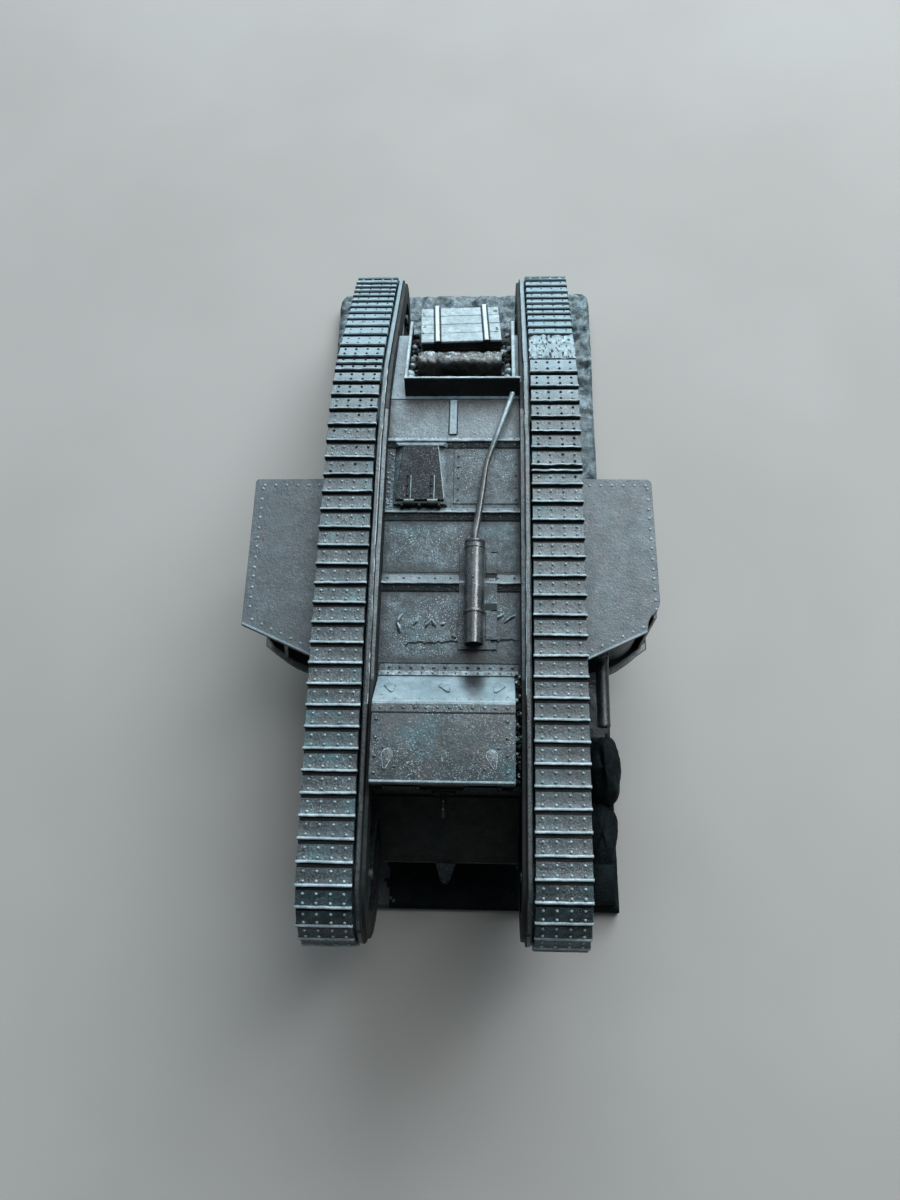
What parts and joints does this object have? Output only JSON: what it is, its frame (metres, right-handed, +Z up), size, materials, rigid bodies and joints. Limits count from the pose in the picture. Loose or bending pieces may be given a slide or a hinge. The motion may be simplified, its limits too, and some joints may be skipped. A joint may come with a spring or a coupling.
{
  "type": "tracked tank chassis",
  "caption": "Rhomboid tank scale kit: full-height endless tracks, side sponsons with a swivelling gun, riveted cab, roof hatch and stowage tray, resting on a sculpted ground base.",
  "frame": {"origin": "middle of the base's flat underside, below the middle of the overall length", "axes": "+Z up, -Y towards the cab and the front of the tracks, +X towards the sponson that carries the gun"},
  "size_m": [0.12, 0.238, 0.0744],
  "materials": {
    "dark_hull": "near-black painted polystyrene, satin, dusted in the recesses",
    "track_plastic": "near-black satin-gloss polystyrene with bright rubbed edges",
    "gun_grey": "dark grey painted polystyrene, rubbed bright on the high edges",
    "silencer_plastic": "dark grey satin, brighter along the top",
    "pale_plate": "satin dark grey that catches the light",
    "stowage_grey": "mid grey satin over dark grooves",
    "wet_ground": "glossy sculpted ground, dark grey-green"
  },
  "bodies": {
    "chassis": {"belly_plate": "dark_hull", "cab_front_plate": "dark_hull", "cab_gun_socket": "gun_grey", "cab_rear_plate": "pale_plate", "cab_roof": "dark_hull", "cab_sides": "dark_hull", "crate": "stowage_grey", "crate_lid": "stowage_grey", "crate_straps": "stowage_grey", "cross_spacers": "dark_hull", "display_base": "wet_ground", "exhaust_pipe": "gun_grey", "glacis_plate": "dark_hull", "hatch_coaming": "dark_hull", "hatch_hinge": "gun_grey", "idler_axles": "gun_grey", "inner_frame_left": "dark_hull", "inner_frame_right": "dark_hull", "nose_plate": "dark_hull", "outer_frame_left": "dark_hull", "outer_frame_right": "dark_hull", "port_covers": "pale_plate", "rear_deck": "dark_hull", "rear_plate": "dark_hull", "rollers": "gun_grey", "roof_cover_strips": "dark_hull", "roof_plate_front": "dark_hull", "roof_plate_hatch": "dark_hull", "roof_plate_middle": "dark_hull", "roof_plate_rear": "dark_hull", "silencer_body": "silencer_plastic", "silencer_cap": "silencer_plastic", "silencer_plate": "silencer_plastic", "silencer_tailpipe": "silencer_plastic", "sponson_floor_left": "dark_hull", "sponson_floor_right": "dark_hull", "sponson_mullion_left": "dark_hull", "sponson_roof_left": "dark_hull", "sponson_roof_right": "dark_hull", "sponson_walls_left": "dark_hull", "sponson_walls_right": "dark_hull", "sprocket_axles": "gun_grey", "stowage_tray": "dark_hull", "tarp_roll": "stowage_grey", "tow_bracket": "gun_grey", "track_belt_left": "track_plastic", "track_belt_right": "track_plastic", "visor_hinges": "gun_grey"},
    "idler_left": {"idler_left": "gun_grey"},
    "idler_right": {"idler_right": "gun_grey"},
    "sprocket_left": {"sprocket_left": "gun_grey"},
    "sprocket_right": {"sprocket_right": "gun_grey"},
    "gun_mount": {"gun_drum": "gun_grey"},
    "side_gun": {"side_gun": "gun_grey", "gun_barrel": "gun_grey"},
    "cab_gun": {"cab_gun": "gun_grey"},
    "hatch_lid": {"hatch_lid": "dark_hull"},
    "visor_left": {"visor_left": "dark_hull"},
    "visor_right": {"visor_right": "dark_hull"}
  },
  "joints": [
    {"name": "sprocket_left_spin", "type": "hinge", "parent": "chassis", "child": "sprocket_left", "pos_m": [-0.0282, 0.0955, 0.0225], "axis": [1, 0, 0], "continuous": true},
    {"name": "idler_left_spin", "type": "hinge", "parent": "chassis", "child": "idler_left", "pos_m": [-0.0282, -0.1005, 0.0515], "axis": [1, 0, 0], "continuous": true},
    {"name": "sprocket_right_spin", "type": "hinge", "parent": "chassis", "child": "sprocket_right", "pos_m": [0.0282, 0.0955, 0.0225], "axis": [1, 0, 0], "continuous": true},
    {"name": "idler_right_spin", "type": "hinge", "parent": "chassis", "child": "idler_right", "pos_m": [0.0282, -0.1005, 0.0515], "axis": [1, 0, 0], "continuous": true},
    {"name": "gun_traverse", "type": "hinge", "parent": "chassis", "child": "gun_mount", "pos_m": [0.0472, -0.025, 0.027], "axis": [0, 0, 1], "range_deg": [-6, 45]},
    {"name": "gun_elevation", "type": "hinge", "parent": "gun_mount", "child": "side_gun", "pos_m": [0.044, -0.027, 0.043], "axis": [-1, 0, 0], "range_deg": [-10, 20]},
    {"name": "cab_gun_traverse", "type": "hinge", "parent": "chassis", "child": "cab_gun", "pos_m": [-0.0009, -0.0789, 0.06], "axis": [0, 0, 1], "range_deg": [-20, 20]},
    {"name": "hatch_lid_hinge", "type": "hinge", "parent": "chassis", "child": "hatch_lid", "pos_m": [-0.0092, 0.00145, 0.06575], "axis": [1, 0, 0], "range_deg": [0, 110]},
    {"name": "visor_left_hinge", "type": "hinge", "parent": "chassis", "child": "visor_left", "pos_m": [-0.0112, -0.08025, 0.0712], "axis": [-1, 0, 0], "range_deg": [0, 90]},
    {"name": "visor_right_hinge", "type": "hinge", "parent": "chassis", "child": "visor_right", "pos_m": [0.0096, -0.08025, 0.0712], "axis": [-1, 0, 0], "range_deg": [0, 90]}
  ],
  "couplings": [
    {"joint": "idler_left_spin", "follows": "sprocket_left_spin", "ratio": 0.7633},
    {"joint": "idler_right_spin", "follows": "sprocket_right_spin", "ratio": 0.7633}
  ]
}
